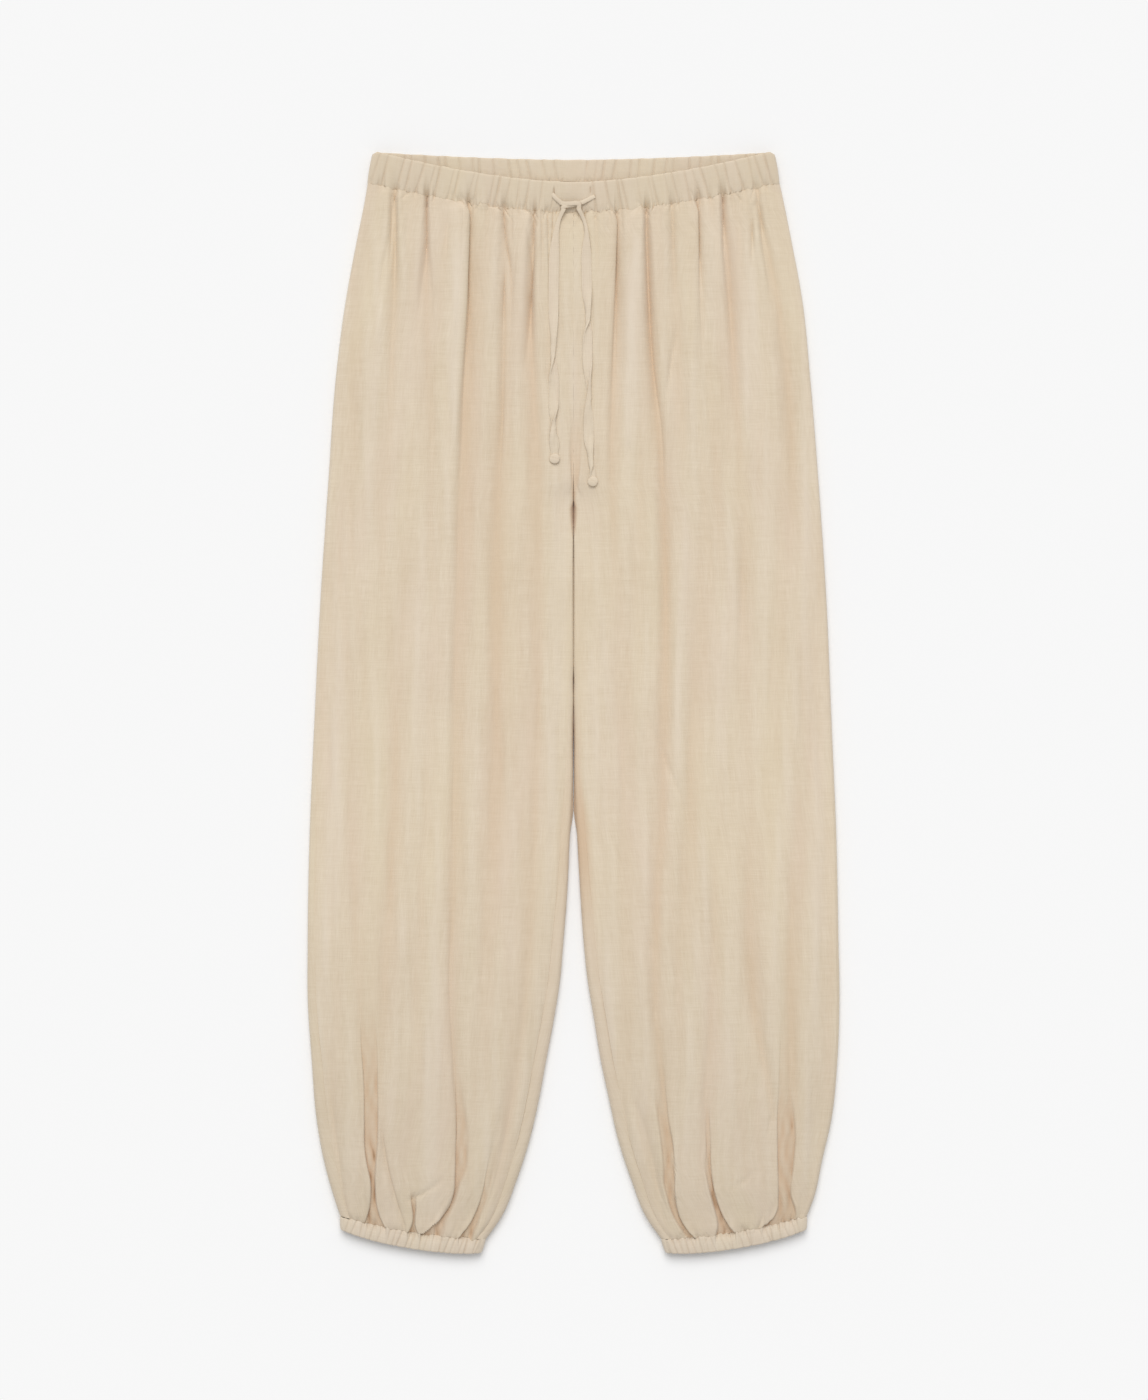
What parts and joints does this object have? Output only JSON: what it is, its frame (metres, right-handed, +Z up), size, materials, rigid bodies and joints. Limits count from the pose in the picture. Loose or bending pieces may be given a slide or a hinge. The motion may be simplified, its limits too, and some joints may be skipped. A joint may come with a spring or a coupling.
{
  "type": "harem trousers",
  "caption": "Loose linen harem trousers laid flat, with a gathered elastic waistband, a drawstring tie and gathered elastic cuffs.",
  "frame": {"origin": "middle of the trousers' outline seen from above, on the surface they lie on", "axes": "+Y from the cuffs to the waist, +Z up from the surface through the front, +X to the wearer's left"},
  "size_m": [0.4797, 0.9944, 0.0188],
  "materials": {
    "linen_front": "matt slubby plain-weave linen",
    "linen_back": "matt slubby plain-weave linen",
    "linen_band": "gathered matt linen over elastic",
    "linen_cuff": "gathered matt linen over elastic",
    "tie_tape": "narrow folded and stitched linen tape"
  },
  "bodies": {
    "root": {"front_leg_right": "linen_front", "front_leg_left": "linen_front", "back_leg_right": "linen_back", "back_leg_left": "linen_back", "waistband_front": "linen_band", "waistband_back": "linen_band", "cuff_right": "linen_cuff", "cuff_left": "linen_cuff", "tie_knot": "tie_tape", "tie_run_right": "tie_tape", "tie_run_left": "tie_tape", "tie_end_right": "tie_tape", "tie_end_left": "tie_tape", "tie_tip_right": "tie_tape", "tie_tip_left": "tie_tape"}
  },
  "joints": []
}
